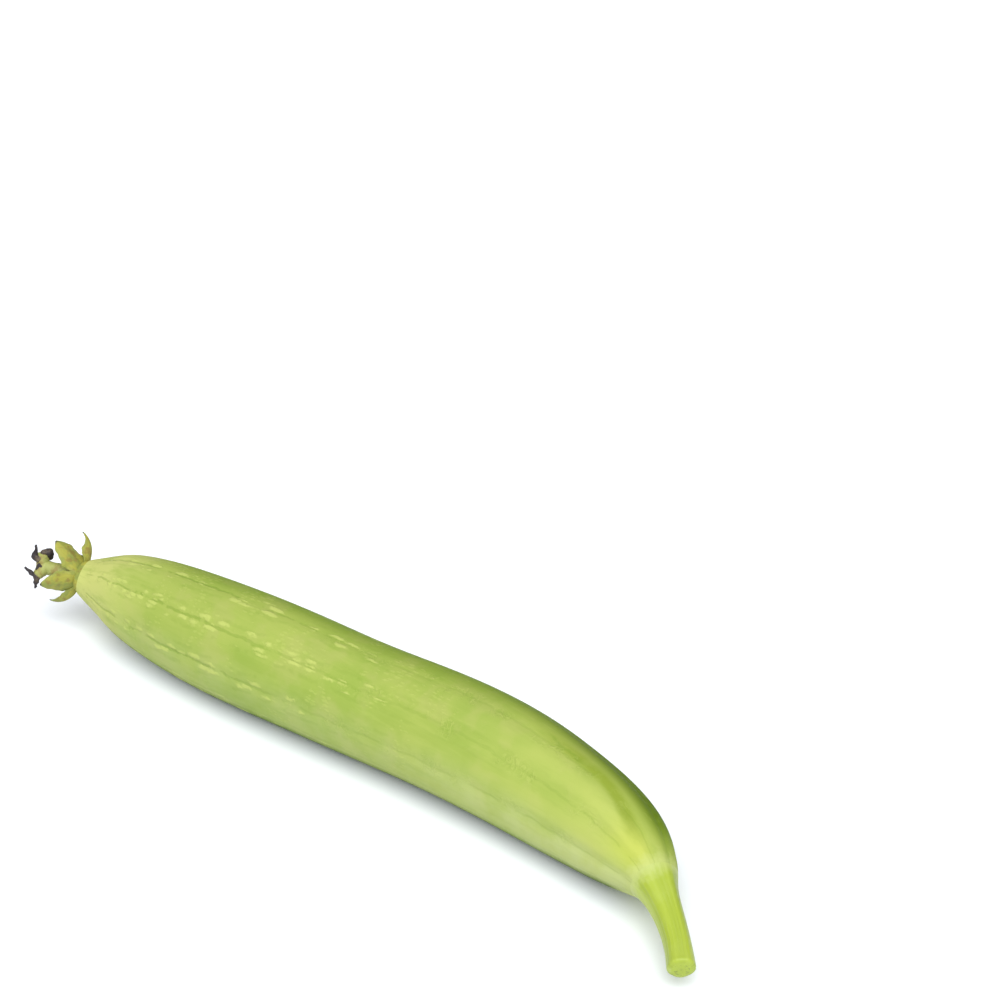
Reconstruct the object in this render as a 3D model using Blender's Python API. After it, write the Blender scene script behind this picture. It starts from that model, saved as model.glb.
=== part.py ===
"""A young smooth sponge gourd as picked, lying on its side.

The fruit has its cut stem at one end. At the blossom end it keeps the calyx with five sepals and, standing in
the middle of them, the withered style with its three forked stigmas.

Run with: blender --background --python part.py
Axes: +X from the blossom end to the stem, +Z up, the hollow side of the bend towards -Y. The origin lies
under the middle of the whole object, on the surface that it rests on. Sizes below are in millimetres.
"""

import math
from collections import namedtuple

import bmesh
import bpy
import numpy as np
from mathutils import Vector

MM = 0.001
UP = Vector((0, 0, 1))
GAP = 0.3  # clear space between two pieces that meet
STEP = 0.2  # how far apart along a curve its direction is read

# Where the fruit's axis starts, at the middle of its blossom end. Every station below is measured from here.
BLOSSOM_END = Vector((-152.367, -11.336, 0))

Station = namedtuple("Station", "x y z radius")

# The fruit's axis and its radius along it. The blossom end is blunt, the thickest place is a third of the way
# along, and the axis bends faster as the fruit narrows to its stem.
FRUIT = (
    Station(0.0, 1.6, 23.9, 7.6),
    Station(4.5, 3.2, 23.1, 9.9),
    Station(10.0, 4.7, 22.6, 12.3),
    Station(18.5, 6.2, 22.4, 15.6),
    Station(29.0, 7.1, 22.2, 18.2),
    Station(43.0, 8.2, 21.9, 20.3),
    Station(61.0, 9.2, 21.9, 21.9),
    Station(86.0, 10.4, 22.5, 22.95),
    Station(116.0, 13.0, 22.5, 22.95),
    Station(146.0, 15.8, 22.05, 22.5),
    Station(176.0, 18.7, 22.05, 22.5),
    Station(202.0, 20.3, 21.9, 22.35),
    Station(224.0, 20.5, 21.2, 21.6),
    Station(241.0, 19.4, 20.4, 20.4),
    Station(257.0, 17.4, 19.9, 18.8),
    Station(270.0, 14.6, 19.7, 16.8),
    Station(281.0, 11.1, 19.5, 13.9),
    Station(289.0, 7.6, 19.2, 10.7),
    Station(293.5, 5.0, 18.9, 8.6),
)

# The stem goes on from there with a flared foot, curves towards -Y and droops, and swells a little at its
# cut. A few low ridges run along it.
STEM = (
    Station(297.5, 2.5, 18.2, 6.9),
    Station(302.5, -0.6, 16.9, 5.7),
    Station(310.0, -5.7, 14.6, 4.9),
    Station(317.5, -11.9, 12.1, 4.7),
    Station(322.2, -16.6, 10.6, 4.9),
)
STEM_RIDGES, STEM_RIDGE_SHARE = 5, 0.045
CUT_BEVEL = 0.8

# Nine shallow grooves run the length of the fruit. They are narrow lines along most of it and open into
# broad valleys towards the stem. A row holds the share of the length, and the depth and sharpness there.
GROOVES, FIRST_GROOVE = 9, math.radians(17)
GROOVE_ROWS = (
    (0.00, 0.00, 3.0),
    (0.08, 0.30, 4.0),
    (0.30, 0.22, 6.0),
    (0.65, 0.20, 6.0),
    (0.82, 0.45, 3.0),
    (0.94, 0.75, 2.0),
    (1.00, 0.25, 2.0),
)
# Slow swellings of the skin: height, times round, times along, and phase.
SWELLINGS = ((0.22, 2, 2.3, 0.4), (0.16, 3, 3.7, 1.9), (0.10, 1, 6.1, 4.0))

FRUIT_SIDES, FRUIT_RINGS = 54, 58
STEM_SIDES, STEM_RINGS = 20, 20

# The calyx sits on the blossom end: a shallow cup, and five sepals round it.
CALYX_LENGTH, CALYX_RADIUS, CALYX_MOUTH = 2.8, 7.2, 5.8
CALYX_SIDES = 30
SEPAL_THICKNESS, SEPAL_ROOT = 0.7, 1.6
FLAT_ROOT = 0.3  # the share of a sepal's length that it takes to become fully cupped
SEPAL_STEPS, SEPAL_POINTS = 9, 5

# Each sepal's place round the calyx (0 is up, 90 is towards -Y), its lean away from the calyx axis at the
# root and at the tip, its length and greatest width, and how far its edges stand above its middle, as a
# share of its half width.
Sepal = namedtuple("Sepal", "place root_lean tip_lean length width cupping")
SEPALS = (
    Sepal(-48, 76, 50, 13.8, 6.4, 1.0),
    Sepal(10, 50, 32, 14.0, 8.8, 0.5),
    Sepal(90, 50, 36, 13.8, 7.4, 0.5),
    Sepal(152, 86, 0, 13.2, 5.4, 1.1),
    Sepal(-120, 56, 40, 12.6, 6.6, 0.6),
)

# The withered style: its line from the cup, measured along the calyx axis, up, and towards -Y.
STYLE = (
    Station(0.0, 0.0, 0.0, 3.0),
    Station(4.0, 0.1, 0.9, 2.6),
    Station(8.5, 0.1, 2.2, 2.4),
    Station(13.0, 0.3, 3.4, 2.6),
    Station(16.2, 0.6, 4.0, 2.4),
)
STYLE_SIDES, STYLE_RINGS = 14, 12

# Three stigmas stand on its end. Each is a short stalk that forks into two knotted horns. The twist turns the
# fork round the stalk: at 0 it spreads round the style, at 90 along it.
Stigma = namedtuple("Stigma", "place lean length twist")
STIGMAS = (
    Stigma(-12, 74, 6.0, 78),
    Stigma(112, 50, 3.8, 55),
    Stigma(-128, 52, 4.2, 10),
)
STALK_RADIUS, STALK_TIP_RADIUS, STALK_RINGS = 2.3, 1.9, 5
HORN_LENGTH, HORN_RADIUS, HORN_TIP_RADIUS = 6.4, 1.45, 0.55
HORN_ROOT_LEAN, HORN_TIP_LEAN, HORN_RINGS = 34, 98, 9
HORN_KNOTS, HORN_KNOT_SHARE = 2.5, 0.2
LOBE_SIDES = 9

SKIN_GREEN = (0.47, 0.62, 0.13)
STEM_GREEN = (0.46, 0.64, 0.08)
CALYX_OLIVE = (0.42, 0.44, 0.09)
STYLE_OLIVE = (0.36, 0.38, 0.13)


def spline(stations):
    """A function from a distance to (x, y, z, radius) on the smooth curve through the stations, and the
    distance of each station."""
    rows = np.array(stations, float)
    steps = np.linalg.norm(np.diff(rows[:, :3], axis=0), axis=1)
    at = np.concatenate([[0.0], np.cumsum(steps)])
    bends = natural_bends(at, rows)

    def point(distance):
        s = min(max(distance, 0.0), at[-1])
        i = min(int(np.searchsorted(at, s, side="right")) - 1, len(at) - 2)
        h = at[i + 1] - at[i]
        a, b = (at[i + 1] - s) / h, (s - at[i]) / h
        bend = ((a**3 - a) * bends[i] + (b**3 - b) * bends[i + 1]) * h * h / 6
        return a * rows[i] + b * rows[i + 1] + bend

    return point, at


def natural_bends(at, rows):
    """Second derivatives of the natural cubic spline through the rows."""
    count, h = len(at), np.diff(at)
    left, right = np.eye(count), np.zeros_like(rows)
    for i in range(1, count - 1):
        left[i, i - 1 : i + 2] = h[i - 1] / 6, (h[i - 1] + h[i]) / 3, h[i] / 6
        right[i] = (rows[i + 1] - rows[i]) / h[i] - (rows[i] - rows[i - 1]) / h[i - 1]
    return np.linalg.solve(left, right)


def frame_at(point, distance):
    """The place on a curve, the directions ahead, down and to the -Y side of it, and the radius there."""
    before, here, after = point(distance - STEP), point(distance), point(distance + STEP)
    ahead = Vector((after - before)[:3]).normalized()
    side = ahead.cross(UP).normalized()
    down = ahead.cross(side).normalized()
    return Vector(here[:3]), ahead, down, side, float(here[3])


def mixed(rows, share):
    """The values of a table at a share of the length, eased from row to row."""
    for before, after in zip(rows, rows[1:]):
        if share <= after[0]:
            t = (share - before[0]) / (after[0] - before[0])
            t = t * t * (3 - 2 * t)
            return [a + (b - a) * t for a, b in zip(before[1:], after[1:])]
    return list(rows[-1][1:])


def skin_relief(share, angle):
    """How far the skin lies off a round section. The angle is 0 at the bottom and a quarter turn at -Y."""
    depth, sharpness = mixed(GROOVE_ROWS, share)
    crest = 0.5 + 0.5 * math.cos(GROOVES * (angle - FIRST_GROOVE))
    fade = math.sin(math.pi * share) ** 0.5
    swell = sum(
        height * math.sin(around * angle + along * math.pi * share + phase)
        for height, around, along, phase in SWELLINGS
    )
    return swell * fade - depth * crest**sharpness


def material(name, colour, roughness):
    """A plain finish."""
    made = bpy.data.materials.new(name)
    made.use_nodes = True
    shader = made.node_tree.nodes["Principled BSDF"]
    shader.inputs["Base Color"].default_value = (*colour, 1.0)
    shader.inputs["Roughness"].default_value = roughness
    shader.inputs["Metallic"].default_value = 0.0
    return made


def loft(name, rings, finish):
    """A closed object through rings with equal numbers of points, with a fan over each end."""
    shape = bmesh.new()
    rows = [[shape.verts.new(point * MM) for point in ring] for ring in rings]
    for row, after in zip(rows, rows[1:]):
        for i in range(len(row)):
            j = (i + 1) % len(row)
            shape.faces.new((row[i], row[j], after[j], after[i]))
    for row in (rows[0], rows[-1]):
        hub = shape.verts.new(sum((v.co for v in row), Vector()) / len(row))
        for i in range(len(row)):
            shape.faces.new((row[i], row[(i + 1) % len(row)], hub))
    bmesh.ops.recalc_face_normals(shape, faces=shape.faces)
    mesh = bpy.data.meshes.new(name)
    shape.to_mesh(mesh)
    shape.free()
    mesh.materials.append(finish)
    mesh.shade_smooth()
    mesh.set_sharp_from_angle(angle=math.radians(45))
    made = bpy.data.objects.new(name, mesh)
    bpy.context.scene.collection.objects.link(made)
    return made


def join_all(body, others):
    """Joins the others to the body in one solid, and removes them."""
    group = bpy.data.collections.new(body.name + "_parts")
    bpy.context.scene.collection.children.link(group)
    for other in others:
        bpy.context.scene.collection.objects.unlink(other)
        group.objects.link(other)
    union = body.modifiers.new("union", "BOOLEAN")
    union.operation = "UNION"
    union.operand_type = "COLLECTION"
    union.collection = group
    union.solver = "EXACT"
    bpy.context.view_layer.objects.active = body
    bpy.ops.object.modifier_apply(modifier=union.name)
    for other in others:
        bpy.data.objects.remove(other)
    bpy.data.collections.remove(group)
    return body


def make_fruit():
    """The fruit: rings along its bent axis, grooved, and flattened where it lies on the ground."""
    point, at = spline(FRUIT + STEM)
    length = at[len(FRUIT) - 1]
    rings = []
    for n in range(FRUIT_RINGS + 1):
        share = eased_ends(n / FRUIT_RINGS)
        here, _, down, side, radius = frame_at(point, share * length)
        ring = []
        for i in range(FRUIT_SIDES):
            angle = 2 * math.pi * i / FRUIT_SIDES
            reach = radius + skin_relief(share, angle)
            outwards = down * math.cos(angle) + side * math.sin(angle)
            spot = BLOSSOM_END + here + outwards * reach
            spot.z = max(spot.z, 0.0)
            ring.append(spot)
        rings.append(ring)
    return loft("fruit", rings, material("skin", SKIN_GREEN, 0.5))


def eased_ends(share, strength=0.55):
    """Moves evenly spaced shares towards both ends, where a fruit's outline turns fastest."""
    return share - strength * math.sin(2 * math.pi * share) / (2 * math.pi)


def make_stem():
    """The stem: a ridged, flared tube from the fruit's end to a cut with a worn edge."""
    point, at = spline(FRUIT + STEM)
    start = at[len(FRUIT) - 1] + GAP
    rings = []
    for n in range(STEM_RINGS + 1):
        distance = start + (at[-1] - start) * n / STEM_RINGS
        here, _, down, side, radius = frame_at(point, distance)
        rings.append(stem_ring(here, down, side, radius))
    end, ahead, down, side, radius = frame_at(point, at[-1])
    worn = end + ahead * CUT_BEVEL * 0.5
    rings.append(stem_ring(worn, down, side, radius - CUT_BEVEL))
    return loft("stem", rings, material("stem", STEM_GREEN, 0.42))


def stem_ring(here, down, side, radius):
    """The points of one section of the stem."""
    ring = []
    for i in range(STEM_SIDES):
        angle = 2 * math.pi * i / STEM_SIDES
        reach = radius * (1 + STEM_RIDGE_SHARE * math.cos(STEM_RIDGES * angle))
        outwards = down * math.cos(angle) + side * math.sin(angle)
        ring.append(BLOSSOM_END + here + outwards * reach)
    return ring


def calyx_frame():
    """The middle of the blossom end, the way that the calyx points, and its up and -Y directions."""
    here, ahead, down, side, _ = frame_at(spline(FRUIT + STEM)[0], 0.0)
    return BLOSSOM_END + here, -ahead, -down, side


def bent_line(start, axis, radial, root_lean, tip_lean, length, steps):
    """Points on a line that turns evenly from one lean off the axis to another, and its direction at each."""
    places, ways, here = [], [], start.copy()
    for n in range(steps + 1):
        lean = math.radians(root_lean + (tip_lean - root_lean) * n / steps)
        way = axis * math.cos(lean) + radial * math.sin(lean)
        places.append(here.copy())
        ways.append(way)
        here += way * length / steps
    return places, ways


def sepal_width(share):
    """A sepal's width as a share of its greatest: fullest two fifths of the way along, then to a point."""
    return (1 - share) ** 0.9 * (0.40 + 1.75 * share) / 0.694


def make_sepal(number, sepal):
    """One sepal: a thin cupped blade that leans out from the calyx and curls."""
    centre, axis, up, side = calyx_frame()
    place = math.radians(sepal.place)
    radial = up * math.cos(place) + side * math.sin(place)
    across = axis.cross(radial).normalized()
    root = centre + axis * (CALYX_LENGTH * 0.5) + radial * (CALYX_MOUTH - SEPAL_ROOT)
    places, ways = bent_line(
        root, axis, radial, sepal.root_lean, sepal.tip_lean, sepal.length + SEPAL_ROOT, SEPAL_STEPS
    )
    rings = []
    for n, (here, way) in enumerate(zip(places, ways)):
        share = n / SEPAL_STEPS
        half = max(sepal.width / 2 * sepal_width(share), SEPAL_THICKNESS / 2)
        cup = half * sepal.cupping * min(1.0, share / FLAT_ROOT)
        inwards = way.cross(across)
        face = []
        for i in range(SEPAL_POINTS):
            spread = -1 + 2 * i / (SEPAL_POINTS - 1)
            face.append(here + across * (half * spread) + inwards * (cup * spread**2))
        back = [spot + inwards * SEPAL_THICKNESS for spot in reversed(face)]
        rings.append(face + back)
    return loft(f"sepal_{number}", rings, bpy.data.materials["calyx"])


def make_calyx():
    """The calyx: a cup floor on the blossom end, with the sepals joined to it."""
    centre, axis, up, side = calyx_frame()
    finish = material("calyx", CALYX_OLIVE, 0.55)
    rings = []
    profile = (
        (GAP, CALYX_RADIUS),
        (CALYX_LENGTH * 0.55, CALYX_RADIUS * 0.93),
        (CALYX_LENGTH, CALYX_MOUTH),
    )
    for height, radius in profile:
        ring = []
        for i in range(CALYX_SIDES):
            angle = 2 * math.pi * i / CALYX_SIDES
            outwards = up * math.cos(angle) + side * math.sin(angle)
            ring.append(centre + axis * height + outwards * radius)
        rings.append(ring)
    floor = loft("calyx", rings, finish)
    return join_all(floor, [make_sepal(n, sepal) for n, sepal in enumerate(SEPALS)])


def tube(name, places, ways, radii, sides, finish):
    """A round tube through the places, with one radius for each."""
    rings, reference = [], UP
    for here, way, radius in zip(places, ways, radii):
        side = way.cross(reference).normalized()
        reference = side.cross(way).normalized()
        turns = [2 * math.pi * i / sides for i in range(sides)]
        rings.append([here + (reference * math.cos(t) + side * math.sin(t)) * radius for t in turns])
    return loft(name, rings, finish)


def make_stigma(number, stigma, root, axis, up, side, finish):
    """One stigma: its stalk, and the two knotted horns of its fork."""
    place, lean = math.radians(stigma.place), math.radians(stigma.lean)
    radial = up * math.cos(place) + side * math.sin(place)
    way = axis * math.cos(lean) + radial * math.sin(lean)
    across = axis.cross(radial).normalized()
    twist = math.radians(stigma.twist)
    spread = across * math.cos(twist) + way.cross(across) * math.sin(twist)
    places = [root + way * (stigma.length * n / STALK_RINGS) for n in range(STALK_RINGS + 1)]
    radii = [
        STALK_RADIUS + (STALK_TIP_RADIUS - STALK_RADIUS) * n / STALK_RINGS for n in range(STALK_RINGS + 1)
    ]
    made = [tube(f"stalk_{number}", places, [way] * len(places), radii, LOBE_SIDES, finish)]
    fork = places[-1] - way * HORN_RADIUS
    for hand in (-1, 1):
        places, ways = bent_line(
            fork, way, spread * hand, HORN_ROOT_LEAN, HORN_TIP_LEAN, HORN_LENGTH, HORN_RINGS
        )
        radii = [horn_radius(n / HORN_RINGS, number + hand) for n in range(HORN_RINGS + 1)]
        made.append(tube(f"horn_{number}_{hand}", places, ways, radii, LOBE_SIDES, finish))
    return made


def horn_radius(share, phase):
    """The radius of a horn at a share of its length: a taper with knots."""
    knot = 1 + HORN_KNOT_SHARE * math.sin(2 * math.pi * HORN_KNOTS * share + phase)
    return (HORN_RADIUS + (HORN_TIP_RADIUS - HORN_RADIUS) * share) * knot


def make_style():
    """The withered style, standing in the calyx cup, with its three forked stigmas."""
    centre, axis, up, side = calyx_frame()
    finish = material("style", STYLE_OLIVE, 0.7)
    foot = centre + axis * (CALYX_LENGTH + GAP)
    point, at = spline(STYLE)
    rows = [point(at[-1] * n / STYLE_RINGS) for n in range(STYLE_RINGS + 1)]
    places = [foot + axis * row[0] + up * row[1] + side * row[2] for row in rows]
    ways = [axis] + [(b - a).normalized() for a, b in zip(places, places[1:])]
    column = tube("style", places, ways, [row[3] for row in rows], STYLE_SIDES, finish)
    root = places[-1] - ways[-1] * STALK_RADIUS
    lobes = []
    for number, stigma in enumerate(STIGMAS):
        lobes += make_stigma(number, stigma, root, axis, up, side, finish)
    return join_all(column, lobes)


def main():
    for left_over in list(bpy.data.objects):
        bpy.data.objects.remove(left_over)
    make_fruit()
    make_stem()
    make_calyx()
    make_style()


main()
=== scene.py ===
"""Finished looks of a young smooth sponge gourd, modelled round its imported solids.

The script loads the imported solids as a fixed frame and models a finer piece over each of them: the grooved
fruit, the stem with its cut, the calyx with its five sepals, and the withered style with its stigmas. Every
piece gets a node material, and a stage adds the floor, the light and the camera.

The tables are in millimetres and in the frame's own axes: +X from the blossom end to the stem, +Z up, and the
origin on the ground under the middle of the gourd. The settings are in metres.
"""

import math
from collections import namedtuple

import bmesh
import bpy
import numpy as np
from mathutils import Matrix


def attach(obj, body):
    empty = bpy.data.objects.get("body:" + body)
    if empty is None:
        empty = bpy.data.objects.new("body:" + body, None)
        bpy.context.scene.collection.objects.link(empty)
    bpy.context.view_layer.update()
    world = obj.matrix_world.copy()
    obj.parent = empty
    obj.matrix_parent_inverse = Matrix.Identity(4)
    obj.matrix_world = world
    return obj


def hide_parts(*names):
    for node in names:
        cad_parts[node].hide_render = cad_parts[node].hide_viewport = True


bl_info = {
    "name": "Smooth Sponge Gourd",
    "version": (1, 0, 0),
    "blender": (4, 5, 0),
    "location": "View3D > Sidebar > Sponge Gourd",
    "description": "Models a young smooth sponge gourd round its packed solids",
    "category": "Add Mesh",
}

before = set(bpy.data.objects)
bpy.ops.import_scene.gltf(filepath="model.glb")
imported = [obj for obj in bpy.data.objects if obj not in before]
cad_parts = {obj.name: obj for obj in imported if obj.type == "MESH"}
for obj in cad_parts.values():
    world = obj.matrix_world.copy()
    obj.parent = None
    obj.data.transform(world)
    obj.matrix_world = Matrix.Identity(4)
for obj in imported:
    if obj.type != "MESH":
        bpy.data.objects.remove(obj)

MM = 0.001
UP = np.array((0.0, 0.0, 1.0))
GAP = 0.3  # clear space between two solids that meet
STEP = 0.2  # how far apart along a curve its direction is read

# Where the fruit's axis starts, at the middle of its blossom end. The stations are measured from here.
BLOSSOM_END = np.array((-152.367, -11.336, 0.0))

# Stations along the fruit's axis, from the blossom end to the stem: x, y, z and the radius there.
FRUIT = (
    (0.0, 1.6, 23.9, 7.6),
    (4.5, 3.2, 23.1, 9.9),
    (10.0, 4.7, 22.6, 12.3),
    (18.5, 6.2, 22.4, 15.6),
    (29.0, 7.1, 22.2, 18.2),
    (43.0, 8.2, 21.9, 20.3),
    (61.0, 9.2, 21.9, 21.9),
    (86.0, 10.4, 22.5, 22.95),
    (116.0, 13.0, 22.5, 22.95),
    (146.0, 15.8, 22.05, 22.5),
    (176.0, 18.7, 22.05, 22.5),
    (202.0, 20.3, 21.9, 22.35),
    (224.0, 20.5, 21.2, 21.6),
    (241.0, 19.4, 20.4, 20.4),
    (257.0, 17.4, 19.9, 18.8),
    (270.0, 14.6, 19.7, 16.8),
    (281.0, 11.1, 19.5, 13.9),
    (289.0, 7.6, 19.2, 10.7),
    (293.5, 5.0, 18.9, 8.6),
)
FRUIT_RADIUS = 22.5  # of the cylinder that the skin is shaped from
# The stem goes on from there to its cut.
STEM = (
    (297.5, 2.5, 18.2, 6.9),
    (302.5, -0.6, 16.9, 5.7),
    (310.0, -5.7, 14.6, 4.9),
    (317.5, -11.9, 12.1, 4.7),
    (322.2, -16.6, 10.6, 4.9),
)
STEM_RIDGES, STEM_RIDGE_SHARE = 5, 0.045
STEM_FIBRES, FIBRE_HEIGHT = 23, 0.02
CUT_REACH, CUT_ROUNDING = 0.4, 1.3

# The grooves of the fruit: the share of its length, and the depth and sharpness there.
GROOVES, FIRST_GROOVE = 9, math.radians(17)
GROOVE_ROWS = (
    (0.00, 0.00, 3.0),
    (0.08, 0.30, 4.0),
    (0.30, 0.22, 6.0),
    (0.65, 0.20, 6.0),
    (0.82, 0.35, 3.0),
    (0.94, 0.50, 2.0),
    (1.00, 0.25, 2.0),
)
RING_CROWDING = 0.55  # how much closer the fruit's rings stand at its ends
# Slow swellings of the skin: height, times round, times along, and phase.
SWELLINGS = ((0.22, 2, 2.3, 0.4), (0.16, 3, 3.7, 1.9), (0.10, 1, 6.1, 4.0))

# The calyx: its cup, and a sepal's place round it (0 is up, 90 is towards -Y), its lean away from the calyx
# axis at the root and at the tip, its length and greatest width, how far its edges stand above its middle, and
# how it runs out to its tip, from blunt below 1 to drawn out above it.
CALYX_LENGTH, CALYX_RADIUS, CALYX_MOUTH = 2.8, 7.2, 5.8
LOBE_HEIGHT, MOUTH_ROUNDING, FLOOR_DEPTH = 0.18, 0.5, 0.9
SEPAL_ROOT, FLAT_ROOT = 1.6, 0.3
SEPAL_COLUMNS, SEPAL_ROWS = 14, 26
SEPAL_TIP, SEPAL_CURL, MIDRIB_DEPTH, SEPAL_LIFT = 0.16, 0.35, 0.88, 0.35
Sepal = namedtuple("Sepal", "place root_lean tip_lean length width cupping point")
SEPALS = (
    Sepal(-46, 98, 16, 15.4, 7.4, 0.8, 1.3),
    Sepal(4, 48, 20, 14.4, 11.4, 0.35, 0.8),
    Sepal(94, 48, 32, 13.8, 10.4, 0.4, 0.85),
    Sepal(150, 88, -4, 14.6, 7.0, 0.9, 1.3),
    Sepal(-120, 56, 40, 12.6, 6.8, 0.6, 0.9),
)

# The withered style: its column from the cup, and the stalks of its three stigmas with their withered horns.
# They are measured from the column's foot: along the calyx axis, up, and towards -Y.
STYLE = (
    (0.0, 0.0, 0.0, 3.2),
    (4.0, 0.1, 0.9, 3.0),
    (8.5, 0.1, 2.2, 2.9),
    (13.0, 0.3, 3.4, 3.0),
    (16.2, 0.6, 4.0, 2.8),
)
STALKS = (
    ((15.2, 0.1, 4.2, 2.8), (15.8, 2.4, 3.1, 2.6), (16.1, 5.2, 1.9, 2.6)),
    ((14.4, 0.1, 4.5, 2.8), (15.0, -0.9, 6.5, 2.5), (15.4, -2.0, 7.9, 2.0)),
)
HORNS = (
    (
        (16.0, 4.4, 2.8, 1.3),
        (15.8, 6.2, 2.4, 1.5),
        (14.6, 6.6, 1.8, 1.7),
        (13.9, 4.9, 1.2, 1.6),
        (14.4, 2.8, 0.4, 0.8),
    ),
    (
        (16.0, 4.2, 2.4, 1.5),
        (17.4, 3.5, 4.1, 1.7),
        (18.8, 3.9, 4.1, 1.5),
        (19.8, 5.3, 2.4, 0.9),
        (21.0, 6.9, 0.3, 0.4),
    ),
    ((14.9, 1.2, 4.2, 1.6), (15.4, 1.6, 5.4, 1.4), (15.8, 1.3, 6.6, 1.0), (15.9, 0.8, 7.6, 0.6)),
    ((15.2, -2.1, 8.0, 1.5), (16.7, -1.4, 8.6, 1.1), (18.5, -0.5, 8.8, 0.8), (20.9, 0.4, 8.6, 0.4)),
    ((15.4, -2.0, 7.9, 1.5), (15.0, -3.2, 9.1, 1.2), (14.9, -4.7, 9.6, 0.8), (14.8, -6.6, 9.8, 0.4)),
)
KNOTS, KNOT_SHARE = 2.5, 0.12
LIMB_RINGS, LIMB_BULGE = 24, 0.35

# The sides of each tube, the cuts of each round of cutting rings along it, and the rings on its ends.
FRUIT_MESH = (198, (23, 19), 3)
STEM_MESH = (138, (11, 9), 7)
CUP_MESH = (90, (11,), 5)
LIMB_MESH = (32, (LIMB_RINGS - 1,), 3)

# Bands of paint round a piece: the middle, and the outer and the inner half width, as shares of a turn from the
# bottom towards -Y. The scar's length is the same along the fruit.
PALER_SIDE_BAND, SHOULDER_BAND = (0.19, 0.15, 0.04), (0.42, 0.11, 0.03)
# The belly band is painted shade; the back and the rim bands are partly painted shade and partly the skin's own
# green.
BACK_SHADE_BAND, RIM_SHADE_BAND, BELLY_SHADE_BAND = (0.69, 0.23, 0.08), (0.70, 0.18, 0.10), (0.085, 0.085, 0.035)
SCAR_BAND, SCAR_LENGTH = (0.533, 0.010, 0.001), (0.728, 0.036, 0.02)
COLLAR_BAND, FEW_FLECKS_BAND = (0.27, 0.30, 0.08), (0.25, 0.09, 0.04)
# The shaded facet band marks painted shade on one side of the stem.
PALE_FACET_BAND, SHADED_FACET_BAND = (0.24, 0.075, 0.02), (0.66, 0.12, 0.03)
FLECK_CELLS = (4.6, 44.0)  # cells for flecks from groove to groove, and along the whole fruit

# The camera of the photograph, and the ways towards the key light and the bright side of the sky.
CAMERA_PLACE = (0.524863, -0.517806, 0.519900)
CAMERA_TURN = (math.radians(61), 0.0, math.radians(41.5747))
CAMERA_LENS, CAMERA_SENSOR = 85, 36
KEY_WAY, BRIGHT_WAY = np.array((0.50, -0.55, 1.15)), (0.66, -0.75, 0.0)


def colour(name, description, default):
    """A colour setting."""
    return bpy.props.FloatVectorProperty(
        name=name, description=description, subtype="COLOR", size=4, min=0, max=1, default=(*default, 1)
    )


def length(name, description, default):
    """A length setting, in metres."""
    return bpy.props.FloatProperty(
        name=name, description=description, subtype="DISTANCE", unit="LENGTH", min=0, default=default, precision=5
    )


def share_setting(name, description, default):
    """A setting from 0 to 1."""
    return bpy.props.FloatProperty(
        name=name, description=description, subtype="FACTOR", min=0, max=1, default=default
    )


def strength(name, description, default):
    """The strength of a light."""
    return bpy.props.FloatProperty(name=name, description=description, min=0, default=default)


class GOURD_PG_fruit(bpy.types.PropertyGroup):
    """Colours and skin detail of the fruit."""

    body_green: colour("Body green", "Skin over most of the fruit", (0.260, 0.348, 0.064))
    body_yellow: colour("Body yellow", "Warmer patches of the skin", (0.31, 0.38, 0.082))
    body_beige: colour("Body beige", "Dull blotches of the skin", (0.345, 0.375, 0.11))
    shade_green: colour("Shade green", "Deeper green of the mottling and the streaks", (0.20, 0.30, 0.038))
    # Partly the skin's own deeper green and partly painted shade along the upper back side.
    back_green_and_shade: colour("Back green", "The upper side away from the bend's hollow", (0.135, 0.215, 0.008))
    # Near the stem the valleys are painted darker and the ridges lighter: partly their own colour, partly painted
    # shade and light.
    valley_green_and_shade: colour("Valley green", "Broad valleys near the stem", (0.20, 0.31, 0.03))
    ridge_yellow_and_light: colour("Ridge yellow", "Broad ridges near the stem", (0.41, 0.465, 0.115))
    # Partly the skin's own deepest green and partly painted shade, on the upper side near the stem.
    rim_green_and_shade: colour("Rim green", "Deepest green, on the bend's outside by the stem", (0.075, 0.125, 0.004))
    # Painted shade: a dark band along the underside, where the fruit lies on the floor.
    belly_shade_green: colour("Belly green", "Dark green of the underside that the fruit lies on", (0.035, 0.085, 0.004))
    stripe_olive: colour("Stripe olive", "One broad stripe that runs down to the stem", (0.19, 0.255, 0.018))
    shoulder_yellow: colour("Shoulder yellow", "Warm skin just above the stem", (0.48, 0.51, 0.07))
    # Paler, mottled skin along the lower side near the stem.
    side_pale: colour("Side pale", "Bleached lower side near the stem", (0.46, 0.51, 0.23))
    blossom_beige: colour("Blossom beige", "Skin round the blossom end", (0.49, 0.51, 0.165))
    collar_pale: colour("Collar", "Skin where the fruit runs out into the stem", (0.44, 0.50, 0.17))
    line_green: colour("Line green", "Fine lines along the grooves", (0.13, 0.225, 0.02))
    fleck_pale: colour("Fleck", "Raised flecks beside the lines", (0.44, 0.50, 0.135))
    line_width: share_setting("Line width", "Half width of a line, as a share of the groove spacing", 0.018)
    fleck_size: share_setting("Fleck size", "Size of the largest flecks, as a share of their spacing", 0.33)
    skin_relief: length("Skin relief", "Height that one unit of the skin's fine relief stands for", 0.001)


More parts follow.
